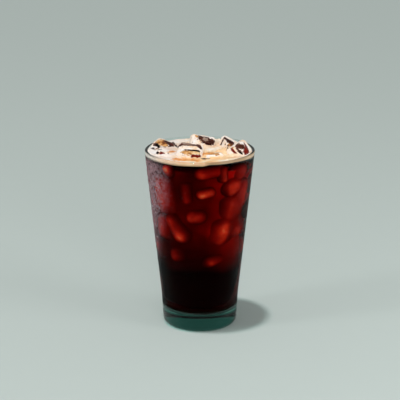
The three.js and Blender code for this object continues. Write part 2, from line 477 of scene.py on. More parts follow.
# Where the foam leaves the ice bare or stains it, and where a half skin of foam paints the pale reflection on
# the wet ice top: kind, one end, other end, half width, in millimetres
iceMarks = {
    "ice_left": [
        ("window", (-36.3, 13.6, 147.3), (-34.5, 8.2, 145.9), 1.5),
        ("window", (-24.5, 12.5, 149.3), (-22.3, 9.6, 147.0), 2.2),
        ("window", (-31.0, 6.6, 146.4), (-26.0, 6.6, 146.4), 0.9),
        ("window", (-28.0, 15.0, 149.9), (-24.0, 13.0, 149.6), 1.0),
        ("window", (-35.4, 12.8, 148.0), (-33.5, 8.5, 146.4), 1.2),
        ("amber", (-32.5, 15.0, 149.3), (-27.8, 12.3, 148.8), 3.0),
        ("amber", (-31.4, 11.6, 147.8), (-27.5, 9.7, 147.6), 1.8),
    ],
    "ice_left_front": [
        ("window", (-34.4, -12.8, 147.0), (-33.0, -13.2, 146.9), 0.8),
        ("wine", (-31.0, -13.0, 146.7), (-28.5, -14.0, 146.4), 1.0),
    ],
    "ice_center": [
        ("window", (-17.5, -7.0, 150.3), (-13.0, -5.2, 152.4), 1.5),
        ("window", (-13.0, -5.2, 152.4), (-7.8, -4.9, 152.4), 2.0),
        ("window", (-7.8, -4.9, 152.4), (-2.6, -5.6, 151.8), 2.0),
        ("window", (-2.6, -5.6, 151.8), (0.6, -9.0, 150.6), 1.6),
        ("hazeAndPaintedLight", (-12.6, -4.6, 152.6), (-4.0, -4.6, 152.2), 1.2),
        ("window", (-11.5, -13.6, 150.0), (-6.2, -14.6, 149.5), 0.8),
        ("window", (-6.2, -14.6, 149.5), (-0.6, -15.1, 149.1), 0.9),
        ("amber", (-12.0, -17.3, 148.6), (-2.0, -17.3, 148.4), 2.0),
        ("wine", (-5.4, -19.9, 146.3), (-0.6, -19.9, 145.9), 1.2),
    ],
    "ice_back": [
        ("window", (1.0, 17.2, 152.0), (10.0, 16.5, 148.6), 2.0),
        ("window", (3.8, 16.8, 150.6), (7.5, 16.2, 148.4), 2.4),
        ("hazeAndPaintedLight", (3.6, 17.0, 151.4), (5.4, 16.8, 150.6), 1.1),
        ("wine", (4.8, 16.1, 148.3), (8.5, 16.2, 147.8), 1.0),
        ("amber", (-3.0, 16.5, 153.3), (-2.0, 16.5, 153.2), 0.7),
    ],
    "ice_peak": [
        ("window", (17.0, 14.6, 146.3), (18.8, 15.4, 150.1), 1.0),
        ("window", (19.9, 16.5, 152.0), (21.7, 12.3, 152.2), 0.8),
        ("window", (21.7, 12.3, 152.2), (23.1, 8.4, 151.5), 0.9),
        ("window", (23.1, 8.4, 151.5), (26.8, 8.6, 149.7), 1.1),
        ("amber", (24.0, 7.8, 148.8), (26.0, 8.0, 148.3), 0.9),
        ("window", (20.8, 8.6, 148.7), (20.9, 8.6, 148.5), 0.5),
        ("window", (22.7, 7.4, 147.8), (22.8, 7.4, 147.6), 0.45),
    ],
    "ice_right": [
        ("window", (30.2, -10.4, 152.0), (34.1, -11.5, 151.6), 1.5),
        ("window", (31.5, -6.3, 153.9), (29.0, -9.3, 151.6), 0.7),
        ("wine", (36.6, -7.5, 151.6), (37.0, -11.9, 148.3), 2.0),
        ("wine", (25.7, -9.4, 149.4), (29.2, -11.3, 145.1), 0.8),
        ("window", (29.6, -10.8, 150.4), (33.3, -11.9, 145.8), 0.8),
        ("amber", (25.8, -9.2, 151.2), (26.2, -9.2, 150.2), 1.0),
    ],
    "ice_front": [
        ("amber", (7.0, -13.0, 147.0), (14.0, -14.0, 147.8), 2.4),
        ("amber", (7.0, -17.5, 147.6), (13.0, -17.5, 147.6), 1.6),
        ("window", (8.1, -11.5, 146.6), (11.0, -13.2, 147.2), 0.7),
    ],
}

foamMarks = [
    ("amber", (-19.0, -25.5, 145), (-3.0, -29.5, 145), 3.0),
    ("amber", (-24.6, -8.3, 146), (-21.0, -3.0, 146), 2.2),
    ("amber", (3.4, -9.9, 146), (9.0, -12.0, 146), 3.0),
    ("pit", (4.8, -6.5, 145), (8.2, -11.0, 146), 0.9),
    ("pit", (2.5, -24.0, 145), (6.1, -23.2, 145), 1.4),
    ("pit", (-38.5, 7.6, 145), (-36.0, 5.6, 145), 1.3),
    ("pit", (-34.5, 3.6, 145), (-32.2, 2.4, 145), 1.2),
    ("pit", (-21.5, 24.0, 145), (-19.5, 14.0, 145), 1.5),
    ("pit", (22.2, -2.8, 148), (22.3, -2.9, 148), 0.5),
    ("pit", (21.7, -4.8, 147), (21.8, -4.9, 147), 0.4),
]


markEdge = {
    "ragged": ((1.7, 0.22, 91), (0.7, 0.12, 92)),   # length in millimetres, strength, seed
    "end": 1.12,
}


def markShare(points, marks, kinds, flat=False, soft=0.27):
    # 1 inside the marks of these kinds, 0 outside, with a slightly ragged edge of this softness
    share = np.zeros(len(points))
    ragged = sum(strength * ripple(points, length * mm, seed)
                 for length, strength, seed in markEdge["ragged"])
    spots = points / mm * ((1, 1, 0) if flat else (1, 1, 1))
    for kind, one, other, halfWidth in marks:
        if kind not in kinds:
            continue
        start = np.array(one, float)
        way = np.array(other, float) - start
        if flat:
            start[2] = way[2] = 0.0
        along = np.clip((spots - start) @ way / (way @ way), 0.0, 1.0)
        reach = halfWidth * iceForm["markSpread"]
        away = np.linalg.norm(spots - start - along[:, None] * way, axis=1) / reach
        share = np.maximum(share, 1.0 - smoothStep(away + ragged, markEdge["end"] - soft, markEdge["end"]))
    return share


foamHeaps = [
    {"at": (21.5, -1.5), "reach": 9.0, "height": 3.0},
    {"at": (-31.0, 2.5), "reach": 7.0, "height": 1.2},
]

drink = {
    # millimetres, the drops measured from the rim; the formulas under it follow the CAD
    "foamDrop": 3.5,
    "foamDropAtLift": 2.0,
    "foamTopDrop": 1.9,
    "foamLeast": 1.2,
    "foamMoreAtLift": 0.7,  # thicker where it climbs the wall
    "liftStarts": (-1.53, -1.36),   # radians round the glass
    "liftEnds": (-0.9, -0.15),
    "swings": (0.2, 0.12),
    "iceClimb": 1.1,
    "climbReach": (-1.0, 4.0),
    "uneven": (0.25, 0.15),
    "edgeRise": 0.5,
}


def liftShare(angle):
    # the drink stands higher at the right front
    return smoothStep(angle, *drink["liftStarts"]) * (1.0 - smoothStep(angle, *drink["liftEnds"]))


def drinkTop(angle, share):
    lift = (drink["foamDrop"] - drink["foamDropAtLift"]) * liftShare(angle) * smoothStep(share, 0.55, 0.95)
    slow, quick = drink["swings"]
    swing = slow * np.sin(3 * angle + 0.6) * share + quick * np.sin(7 * angle) * share * share
    return glassHeight + (lift + swing - drink["foamDrop"]) * mm


def foamTop(angle, share):
    x = share * rimRadius * np.cos(angle) / mm
    y = share * rimRadius * np.sin(angle) / mm
    climb = np.zeros_like(x)
    for block in iceForm["blocks"].values():
        away = np.hypot(x - block["at"][0], y - block["at"][1]) - block["size"][0] / 2
        climb = np.maximum(climb, 1.0 - smoothStep(away, *drink["climbReach"]))
    heaps = np.zeros_like(x)
    for heap in foamHeaps:
        away = np.hypot(x - heap["at"][0], y - heap["at"][1]) / heap["reach"]
        heaps += heap["height"] * (1.0 - smoothStep(away, 0.0, 1.0))
    broad, narrow = drink["uneven"]
    uneven = broad * np.sin(0.34 * x + 1.2) * np.cos(0.29 * y + 0.4) + narrow * np.sin(0.8 * x - 0.5 * y)
    edge = drink["edgeRise"] * smoothStep(share, 0.9, 1.0)
    rise = drink["iceClimb"] * climb + heaps + uneven * (1.0 - edge) + edge - drink["foamTopDrop"]
    least = drink["foamLeast"] + drink["foamMoreAtLift"] * liftShare(angle) * smoothStep(share, 0.8, 0.97)
    return np.maximum(glassHeight + rise * mm, drinkTop(angle, share) + least * mm)


def blockGrid(steps):
    # the surface of a cube from -1 to 1 as a closed grid of quads
    places = {}
    faces = []

    def corner(key):
        return places.setdefault(key, len(places))

    for axis in range(3):
        for side in (0, steps):
            for i in range(steps):
                for j in range(steps):
                    quad = []
                    for di, dj in ((0, 0), (1, 0), (1, 1), (0, 1)):
                        key = [0, 0, 0]
                        key[axis] = side
                        key[(axis + 1) % 3] = i + di
                        key[(axis + 2) % 3] = j + dj
                        quad.append(corner(tuple(key)))
                    faces.append(quad if side else quad[::-1])
    return np.array(list(places)) / steps * 2.0 - 1.0, faces


def turnMatrix(degrees):
    x, y, z = (math.radians(a) for a in degrees)
    return Matrix.Rotation(x, 3, "X") @ Matrix.Rotation(y, 3, "Y") @ Matrix.Rotation(z, 3, "Z")


def meltedBlock(grid, size, wave, roundShare=iceForm["rounding"]):
    # a cube of ice, rounded and hollowed by melting, in metres round its own middle
    half = np.array(size) * 0.5
    rounding = half.min() * roundShare
    core = half - rounding
    reach = (grid ** 2).sum(axis=1)
    dish = iceForm["dish"] * (0.3 + 0.7 * (1.0 - smoothStep(reach, 1.5, 2.3)))
    p = grid * half
    inner = np.clip(p, -core, core)
    outward = p - inner
    outward /= np.linalg.norm(outward, axis=1)[:, None]
    deep, shallow = iceForm["meltDepths"]
    turnX, turnY, turnZ = iceForm["meltTurns"]
    melt = deep * np.sin(turnX * p[:, 0] + wave) * np.cos(turnY * p[:, 1] - wave)
    melt += shallow * np.sin(turnZ * p[:, 2] + 2 * wave)
    return (inner + outward * (rounding - dish * half[0] + melt)[:, None]) * mm, outward


def placedBlock(grid, block, shrink=0.0):
    points, outward = meltedBlock(grid, block["size"], block["wave"])
    turn = np.array(turnMatrix(block["turn"]))
    points = (points - outward * shrink) @ turn.T + np.array(block["at"]) * mm
    outward = outward @ turn.T
    radius = np.hypot(points[:, 0], points[:, 1])
    limit = innerRadius(np.minimum(points[:, 2], glassHeight)) - iceForm["wallGap"] - shrink
    pull = np.minimum(1.0, limit / radius)
    points[:, :2] *= pull[:, None]
    return points, outward


def iceMaterial():
    # clear ice where the coat share is 0, a skin of foam where it is 1
    material, tree = newMaterial("toppedIce")
    coat, amber, wine = shareNodes(tree, "coat", "amber", "wine")
    crumbs = noiseNode(tree, iceForm["crumbs"], 3.0)
    patches = noiseNode(tree, iceForm["patches"], 3.0, (0.3, 0.1, 0.2))
    streaks = noiseNode(tree, iceForm["streaks"], 3.0, (0.6, 0.2, 0.5))
    foamColour = rampNode(tree, patches, *zip((0.32, 0.50, 0.68), iceForm["foamCoat"]))
    amberColour = rampNode(tree, streaks, *zip((0.36, 0.50, 0.62), iceForm["amber"]))
    colour = mixColours(tree, coat, iceForm["window"], foamColour)
    colour = mixColours(tree, amber, colour, amberColour)
    colour = mixColours(tree, wine, colour, iceForm["wine"])
    solid = mathNode(tree, "MAXIMUM", coat, mathNode(tree, "MULTIPLY", amber, 0.8))
    solid = mathNode(tree, "MAXIMUM", solid, mathNode(tree, "MULTIPLY", wine, 0.6))
    clear = mathNode(tree, "SUBTRACT", 1.0, solid, clamp=True)
    roughness = mathNode(tree, "MULTIPLY_ADD", coat, 0.42, 0.06)
    shader = addNode(tree, "ShaderNodeBsdfPrincipled", {
        "Base Color": colour, "Roughness": roughness, "IOR": iceForm["ior"],
        "Transmission Weight": clear, "Specular Tint": (0.4, 0.4, 0.4, 1.0),
        "Normal": bumpNode(tree, crumbs, 0.12 * mm, 0.6)})
    closeMaterial(tree, shader.outputs[0], lampsPass=clear)
    return material


def buildTopIce():
    grid, faces = blockGrid(iceForm["steps"])
    material = iceMaterial()
    cutters = []
    for number, (name, block) in enumerate(iceForm["blocks"].items()):
        points, outward = placedBlock(grid, block)
        angle = np.arctan2(points[:, 1], points[:, 0])
        share = np.hypot(points[:, 0], points[:, 1]) / (rimRadius - glass["rimWall"])
        overFoam = (points[:, 2] - foamTop(angle, share)) / mm
        coarseSeed, fineSeed, skinSeed = (seed + number for seed in iceForm["seeds"])
        coarse, fine = iceForm["speckSizes"]
        specks = ripple(points, coarse, coarseSeed) + 0.7 * ripple(points, fine, fineSeed)
        bare = markShare(points, iceMarks[name], ("window",))
        hazeAndPaintedLight = markShare(points, iceMarks[name], ("hazeAndPaintedLight",))
        amber = markShare(points, iceMarks[name], ("amber",)) * (1.0 - bare)
        wine = markShare(points, iceMarks[name], ("wine",)) * (1.0 - bare)
        coat = np.maximum(1.0 - smoothStep(specks, *iceForm["specksFrom"]), 0.15) * (1.0 - bare)
        # along the sheen marks a half skin of foam is a painted highlight, the pale reflection on the wet top
        # of the ice
        coat = np.maximum(coat, 0.45 * hazeAndPaintedLight)
        coat *= (1.0 - 0.9 * np.maximum(amber, wine)) * smoothStep(overFoam, *iceForm["coatFrom"])
        even, uneven = iceForm["skin"]
        skin = (even + uneven * ripple(points, 1.4 * mm, skinSeed)) * coat
        piece = addPiece(name + "_melted", points + outward * (skin * mm)[:, None], faces, material)
        addShare(piece, "coat", coat)
        addShare(piece, "amber", amber)
        addShare(piece, "wine", wine)
        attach(piece, "root")
        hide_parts(name)
        shrunk, _ = placedBlock(grid, block, iceForm["cutShrink"])
        cutters.append((name, shrunk))
    return cutters, faces


iceCutters, iceFaces = buildTopIce()
print("ice ready")


def cutByIce(piece):
    # takes the room of the ice out of a piece, by one Boolean on a collection
    box = bpy.data.collections.new("iceRoom")
    bpy.context.scene.collection.children.link(box)
    for name, points in iceCutters:
        mesh = bpy.data.meshes.new(name + "Room")
        mesh.from_pydata(points.tolist(), [], [list(face) for face in iceFaces])
        box.objects.link(bpy.data.objects.new(name + "Room", mesh))
    cut = piece.modifiers.new("iceRoom", "BOOLEAN")
    cut.operand_type = "COLLECTION"
    cut.collection = box
    cut.operation = "DIFFERENCE"
    cut.solver = "MANIFOLD"
    depsgraph = bpy.context.evaluated_depsgraph_get()
    result = bpy.data.meshes.new_from_object(piece.evaluated_get(depsgraph), depsgraph=depsgraph)
    piece.modifiers.clear()
    piece.data = result
    for item in list(box.objects):
        bpy.data.objects.remove(item)
    bpy.data.collections.remove(box)


# The coffee: a clear dark liquid round an opaque heart, with sunk ice between them. The heart's colour is
# painted light: black low down, a red glow higher up and towards the right, where light would come through
# the drink.

coffee = {
    "wallReach": 0.12 * mm,     # how far it reaches into the wall, so that no air gap shows
    "sides": 144,
    "ior": 1.33,
    "colour": (0.833, 0.17, 0.0),
    "density": 360.0,           # per metre
    "swirl": 60.0,
    "roughest": 0.01,
    "lidRings": 24,
    "heartRings": 10,
    "heartSides": 96,
    "heartDepth": 7.0 * mm,
    "heartTop": 137.0 * mm,
    "heartBulge": 1.6 * mm,
    "heartClouds": 38.0,        # per metre
    # the heart's colour is painted light and shade: painted black below, a painted glow above and towards the
    # right
    "heartRise": (44 * mm, 84 * mm),    # black below, lit above
    "heartAcross": (4 * mm, 32 * mm),   # more lit towards the right
    "heartGain": (0.78, 1.9),
    "heart": ((0.06, (0.005, 0.0006, 0.0006)), (0.40, (0.20, 0.004, 0.002)), (0.80, (0.95, 0.02, 0.01))),
}


def fillProfile(inset, top, rings):
    # the inside of the glass up to a height, inset from the wall
    z0 = glass["baseThickness"] + inset
    cornerZ = glass["baseThickness"] + glass["innerCorner"]
    cornerX = innerRadius(cornerZ) - glass["innerCorner"]
    bend = glass["innerCorner"] - inset
    walls = [(innerRadius(z) - inset, z) for z in np.linspace(cornerZ, top, 10)[1:]]
    lid = [(walls[-1][0] * (rings - i) / rings, top) for i in range(1, rings + 1)]
    return [(0.0, z0), (0.5 * cornerX, z0), (cornerX, z0),
            *arcPoints((cornerX, cornerZ), (bend, bend), -90, 0, 12), *walls, *lid]


def coffeeMaterial():
    material, tree = newMaterial("coffeeLiquid")
    swirl = noiseNode(tree, coffee["swirl"], 2.0)
    roughness = mathNode(tree, "MULTIPLY", swirl, coffee["roughest"])
    shader = addNode(tree, "ShaderNodeBsdfPrincipled", {
        "Base Color": (1.0, 1.0, 1.0, 1.0), "Roughness": roughness,
        "IOR": coffee["ior"], "Transmission Weight": 1.0, "Specular Tint": (0.0, 0.0, 0.0, 1.0)})
    inputs = {"Color": (*coffee["colour"], 1.0), "Density": coffee["density"]}
    tint = addNode(tree, "ShaderNodeVolumeAbsorption", inputs).outputs[0]
    closeMaterial(tree, shader.outputs[0], tint, lampsPass=True)
    return material


def heartPaintedGlowMaterial():
    # painted light: the heart is coloured dark red-black where little light would pass and bright red where
    # light would shine through the coffee
    material, tree = newMaterial("coffeeDepthPaintedGlow")
    clouds = noiseNode(tree, coffee["heartClouds"], 3.0)
    axes = placeAxes(tree)
    rise = mapNode(tree, axes["Z"], *coffee["heartRise"])
    right = mapNode(tree, axes["X"], *coffee["heartAcross"], *coffee["heartGain"])
    share = mathNode(tree, "MULTIPLY", mathNode(tree, "MULTIPLY", clouds, rise), right)
    colour = rampNode(tree, share, *coffee["heart"])
    shader = addNode(tree, "ShaderNodeBsdfPrincipled", {"Base Color": colour, "Roughness": 0.8})
    shader.inputs["Specular IOR Level"].default_value = 0.0
    closeMaterial(tree, shader.outputs[0])
    return material


def buildCoffee():
    level = glassHeight - drink["foamDrop"] * mm
    profile = fillProfile(-coffee["wallReach"], level, coffee["lidRings"])
    points, faces = turnedMesh(profile, coffee["sides"])
    points = np.array(points)
    onTop = points[:, 2] > level - 1e-6
    angle = np.arctan2(points[:, 1], points[:, 0])
    radius = np.hypot(points[:, 0], points[:, 1])
    share = np.minimum(radius / (innerRadius(level) + coffee["wallReach"]), 1.0)
    height = drinkTop(angle, share)
    newRadius = share * (innerRadius(height) + coffee["wallReach"])
    points[onTop, 0] = (newRadius * np.cos(angle))[onTop]
    points[onTop, 1] = (newRadius * np.sin(angle))[onTop]
    points[onTop, 2] = height[onTop]
    liquid = addPiece("coffee_liquid", points, faces, coffeeMaterial(), sharpAngle=40)
    cutByIce(liquid)
    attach(liquid, "root")
    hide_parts("coffee")

    profile = fillProfile(coffee["heartDepth"], coffee["heartTop"], coffee["heartRings"])
    points, faces = turnedMesh(profile, coffee["heartSides"])
    points = np.array(points)
    bulge = ripple(points, 34 * mm, 5) * coffee["heartBulge"]
    radial = points * [1, 1, 0]
    radial /= np.maximum(np.linalg.norm(radial, axis=1), 1e-6)[:, None]
    heart = addPiece("coffee_depth", points + radial * bulge[:, None], faces, heartPaintedGlowMaterial())
    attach(heart, "root")


buildCoffee()
print("coffee ready")


# Ice sunk in the coffee: opaque blocks whose colour is a painted glow, red where a block comes near the wall
# and darker deeper in

sunkIce = {
    # degrees from the front to the right, height, gap to the wall, size, turn about out, right and up,
    # painted glow and how many millimetres from its nearest point the painted glow fades
    "placed": [
        (-41.5, 137.0, 0.8, (10, 9, 13), (10, 28, 35), 1.3, 1.3),
        (13, 137.0, 1.5, (18, 24, 11), (8, -6, 5), 0.56, 2.8),
        (28.5, 135.0, 0.8, (10, 9, 15), (3, -2, 45), 0.62, 1.0),
        (47, 123.5, 1.0, (20, 21, 20), (12, 8, 8), 0.78, 2.2),
        (69, 116.0, 1.4, (18, 22, 26), (-12, 6, 30), 0.52, 4.4),
        (8, 119.2, 0.7, (14, 16, 9), (14, -14, 2), 0.86, 1.1),
        (-21, 119.5, 3.0, (14, 10, 20), (4, 5, 44), 0.36, 1.3),
        (54, 105.0, 1.6, (20, 26, 26), (-8, 10, 14), 0.48, 4.0),
        (-6, 100.5, 1.1, (17, 17, 14), (-4, 8, 8), 0.7, 1.3),
        (-37, 88.5, 0.8, (19, 17, 28), (30, 4, 45), 0.76, 1.3),
        (39, 86.0, 0.8, (20, 26, 28), (-12, 8, 30), 0.7, 2.8),
        (-42, 66.0, 3.0, (13, 12, 13), (10, 14, 20), 0.34, 1.4),
        (24, 60.5, 1.8, (14, 16, 9), (20, -20, 12), 0.56, 1.3),
        (67, 90.0, 1.8, (19, 24, 28), (8, -14, 20), 0.5, 4.4),
        (66, 135.0, 1.8, (16, 26, 14), (8, 10, 20), 0.45, 4.4),
        (-54, 116.0, 0.9, (20, 22, 36), (6, 8, 14), 0.75, 3.4),
        (-60, 88.0, 1.6, (18, 20, 24), (-10, 12, 24), 0.5, 3.4),
    ],
    "steps": 18,
    "rounding": 0.97,
    "othersRounding": 0.70,
    # painted light: colours of the painted glow, from dark red deep in to bright orange at the wall
    "paintedGlowColours": ((0.0, (0.10, 0.003, 0.002)), (0.35, (0.46, 0.018, 0.009)),
                (0.80, (0.95, 0.065, 0.022)), (1.0, (0.98, 0.28, 0.09))),
    "clouds": 130.0,            # per metre
    "cloudGain": (1.9, 0.05),
    "others": 26,
    "othersFrom": {
        "angle": (84, 280), "z": (58, 136), "gap": (0.8, 3.6), "glow": (0.35, 0.80),
        "fade": (1.4, 3.2), "size": (16, 22), "turn": (-45, 45),
    },
    "apart": 18.5,              # millimetres between middles, along the wall
    "wallRadius": 36,
    "tries": 4000,
    "seed": 12,
}


def sunkPaintedGlowMaterial():
    material, tree = newMaterial("sunkIce")
    # the ice's colour is a painted glow, red as if lit through the coffee, strongest near the wall
    clouds = noiseNode(tree, sunkIce["clouds"], 3.0)
    glow = shareNodes(tree, "glow")[0]
    gain = mathNode(tree, "MULTIPLY_ADD", clouds, *sunkIce["cloudGain"])
    uneven = mathNode(tree, "MULTIPLY", glow, gain, clamp=True)
    colour = rampNode(tree, uneven, *sunkIce["paintedGlowColours"])
    shader = addNode(tree, "ShaderNodeBsdfPrincipled", {"Base Color": colour, "Roughness": 0.5})
    shader.inputs["Specular IOR Level"].default_value = 0.0
    closeMaterial(tree, shader.outputs[0])
    return material


def sunkBlock(grid, block, number):
    # moved along its own direction till its nearest point is at the gap from the wall
    isPlaced = number < len(sunkIce["placed"])
    rounding = sunkIce["rounding" if isPlaced else "othersRounding"]
    points, _ = meltedBlock(grid, block["size"], wave=1.3 * number, roundShare=rounding)
    points = points @ np.array(turnMatrix(block["turn"])).T
    way = math.radians(block["angle"])
    out = np.array((math.sin(way), -math.cos(way), 0.0))
    right = np.array((math.cos(way), math.sin(way), 0.0))
    frameAxes = np.array([out, right, (0.0, 0.0, 1.0)])
    points = points @ frameAxes + np.array((0.0, 0.0, block["z"] * mm)) + out * 20 * mm
    for _ in range(4):
        room = innerRadius(points[:, 2]) - np.hypot(points[:, 0], points[:, 1])
        points = points + out * (room.min() - block["gap"] * mm)
    # painted glow: brightest at the point nearest the wall, fading deeper in
    glow = block["glow"] * np.exp((room.min() - room) / (block["fade"] * mm))
    return points, glow


def allBlocks():
    # after the placed ones come scattered ones at the sides and the back, which the picture does not show
    dice = np.random.default_rng(sunkIce["seed"])
    fields = ("angle", "z", "gap", "size", "turn", "glow", "fade")
    blocks = [dict(zip(fields, row)) for row in sunkIce["placed"]]
    wanted = len(blocks) + sunkIce["others"]
    ranges = sunkIce["othersFrom"]
    for _ in range(sunkIce["tries"]):
        if len(blocks) == wanted:
            break
        angle = dice.uniform(*ranges["angle"])
        z = dice.uniform(*ranges["z"])
        wayRound = [math.radians(angle - b["angle"]) * sunkIce["wallRadius"] for b in blocks]
        away = [math.hypot(way, z - b["z"]) for way, b in zip(wayRound, blocks)]
        if min(away) <= sunkIce["apart"]:
            continue
        block = {"angle": angle, "z": z}
        for field in ("gap", "glow", "fade"):
            block[field] = dice.uniform(*ranges[field])
        for field in ("size", "turn"):
            block[field] = tuple(dice.uniform(*ranges[field], 3))
        blocks.append(block)
    return blocks


def buildSunkIce():
    grid, blockFaces = blockGrid(sunkIce["steps"])
    points = []
    glows = []
    faces = []
    for number, block in enumerate(allBlocks()):
        start = len(points) * len(grid)
        faces += [[corner + start for corner in face] for face in blockFaces]
        blockPoints, glow = sunkBlock(grid, block, number)
        points.append(blockPoints)
        glows.append(glow)
    piece = addPiece("sunk_ice", np.concatenate(points), faces, sunkPaintedGlowMaterial())
    addShare(piece, "glow", np.concatenate(glows))
    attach(piece, "root")


buildSunkIce()
print("sunk ice ready")


# Foam on the drink

foam = {
    "rings": 104,
    "sides": 600,
    "wallReach": 0.2 * mm,
    "patches": 75.0,            # per metre
    "grain": 1100.0,
    "streaks": 240.0,
    "streakGain": (1.9, 0.05),
    "relief": ((5.0, 0.10, 31), (1.8, 0.05, 32)),   # length and height in millimetres, seed
    "bubbles": 900,
    "bubbleSize": 0.35,         # millimetres
    "bubbleHeight": 0.45,       # share of its size
    "domes": 0.55,              # share of the bubbles, the others are burst
    "pitDepth": 0.4,            # millimetres
    "warmFrom": (-24, -8),      # millimetres to the right of the middle
    "paleFrom": (18, 38),
    "paleBack": (-12, 16),
    "edgeWarmFrom": (-34, -8),
    "seed": 21,
    "cream": ((0.78, 0.60, 0.50), (0.90, 0.80, 0.73), (0.97, 0.92, 0.90)),
    "peach": ((0.88, 0.46, 0.18), (0.94, 0.66, 0.38), (0.96, 0.84, 0.68)),
    "amber": (0.74, 0.27, 0.045),
    "pit": (0.045, 0.012, 0.006),
    "edgePale": (1.0, 0.69, 0.62),      # reddish, since it is seen through the tinted glass
    "edgeWarm": (1.0, 0.49, 0.28),
}


def foamMaterial():
    material, tree = newMaterial("coffeeFoam")
    patches = noiseNode(tree, foam["patches"], 4.0)
    fine = noiseNode(tree, foam["grain"], 2.0)
    warm, amber, pit, edge, edgeWarm = shareNodes(tree, "warm", "amber", "pit", "edge", "edgeWarm")
    cream = rampNode(tree, patches, *zip((0.32, 0.52, 0.70), foam["cream"]))
    peach = rampNode(tree, patches, *zip((0.32, 0.52, 0.70), foam["peach"]))
    colour = mixColours(tree, warm, cream, peach)
    streaks = noiseNode(tree, foam["streaks"], 3.0, (0.2, 0.5, 0.1))
    streaks = mathNode(tree, "MULTIPLY_ADD", streaks, *foam["streakGain"])
    stain = mathNode(tree, "MULTIPLY", amber, streaks, clamp=True)
    colour = mixColours(tree, stain, colour, foam["amber"])
    colour = mixColours(tree, pit, colour, foam["pit"])
    colour = mixColours(tree, edge, colour, mixColours(tree, edgeWarm, foam["edgePale"], foam["edgeWarm"]))
    shader = addNode(tree, "ShaderNodeBsdfPrincipled", {
        "Base Color": colour, "Roughness": 0.5, "Normal": bumpNode(tree, fine, 0.10 * mm, 0.5)})
    closeMaterial(tree, shader.outputs[0])
    return material


def buildFoam():
    rings = foam["rings"]
    sides = foam["sides"]
    shares = np.linspace(0.0, 1.0, rings + 1)[1:]
    angles = np.linspace(-math.pi, math.pi, sides, endpoint=False)
    share, angle = (a.ravel() for a in np.meshgrid(shares, angles, indexing="ij"))
    top = foamTop(angle, share)
    flat = np.stack([share * rimRadius * np.cos(angle), share * rimRadius * np.sin(angle), 0 * share], axis=1)
    dice = np.random.default_rng(foam["seed"])
    relief = sum(height * ripple(flat, length * mm, seed) for length, height, seed in foam["relief"])
    for _ in range(foam["bubbles"]):
        spot = dice.uniform(-1, 1, 2) * rimRadius
        size = (foam["bubbleSize"] + dice.exponential(foam["bubbleSize"])) * mm
        away = np.hypot(flat[:, 0] - spot[0], flat[:, 1] - spot[1]) / size
        dome = np.sqrt(np.clip(1.0 - away ** 2, 0.0, 1.0)) * size / mm * foam["bubbleHeight"]
        relief += dome if dice.random() < foam["domes"] else -dome
    relief -= foam["pitDepth"] * markShare(flat, foamMarks, ("pit",), flat=True)
    top = top + relief * mm * (1.0 - smoothStep(share, 0.985, 1.0))
    under = drinkTop(angle, share)

    def spread(height):
        radius = share * (innerRadius(height) + foam["wallReach"])
        return np.stack([radius * np.cos(angle), radius * np.sin(angle), height], axis=1)

    upper = spread(top)
    lowerRings = list(range(7, rings, 8)) + [rings - 1]
    lower = spread(under).reshape(rings, sides, 3)[lowerRings].reshape(-1, 3)
    middles = np.array([(0.0, 0.0, float(foamTop(np.zeros(1), np.zeros(1))[0])),
                        (0.0, 0.0, float(drinkTop(np.zeros(1), np.zeros(1))[0]))])
    points = np.concatenate([upper, lower, middles])
    topMiddle = len(points) - 2
    lowMiddle = len(points) - 1
    base = rings * sides
    lastLow = base + (len(lowerRings) - 1) * sides
    faces = []
    for i in range(sides):
        j = (i + 1) % sides
        faces.append((topMiddle, i, j))
        faces.append((lowMiddle, base + j, base + i))
        for ring in range(rings - 1):
            a = ring * sides
            faces.append((a + i, a + sides + i, a + sides + j, a + j))
        for ring in range(len(lowerRings) - 1):
            a = base + ring * sides
            faces.append((a + i, a + j, a + sides + j, a + sides + i))
        a = (rings - 1) * sides
        faces.append((a + i, lastLow + i, lastLow + j, a + j))
    piece = addPiece("foam_layer", points, faces, foamMaterial())
    x, y = points.T[:2] / mm
    warm = smoothStep(x + 3 * ripple(points, 12 * mm, 33), *foam["warmFrom"])
    warm *= 1.0 - 0.6 * smoothStep(x, *foam["paleFrom"])
    warm *= 1.0 - 0.45 * smoothStep(y + 4 * ripple(points, 14 * mm, 34), *foam["paleBack"])
    radius = np.hypot(x, y)
    edge = smoothStep(radius - innerRadius(points[:, 2]) / mm, -0.25, 0.0)
    addShare(piece, "warm", warm)
    addShare(piece, "amber", markShare(points, foamMarks, ("amber",), flat=True, soft=0.6))
    addShare(piece, "pit", markShare(points, foamMarks, ("pit",), flat=True))
    addShare(piece, "edge", 0.85 * edge)
    addShare(piece, "edgeWarm", smoothStep(x - 0.4 * y, *foam["edgeWarmFrom"]))
    cutByIce(piece)
    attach(piece, "root")
    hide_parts("foam")


buildFoam()
print("foam ready")


# Mist and drops that condensed on the outside, thickest at the left: real condensation, but kept to the side
# that the side lamp lights, which is painted light

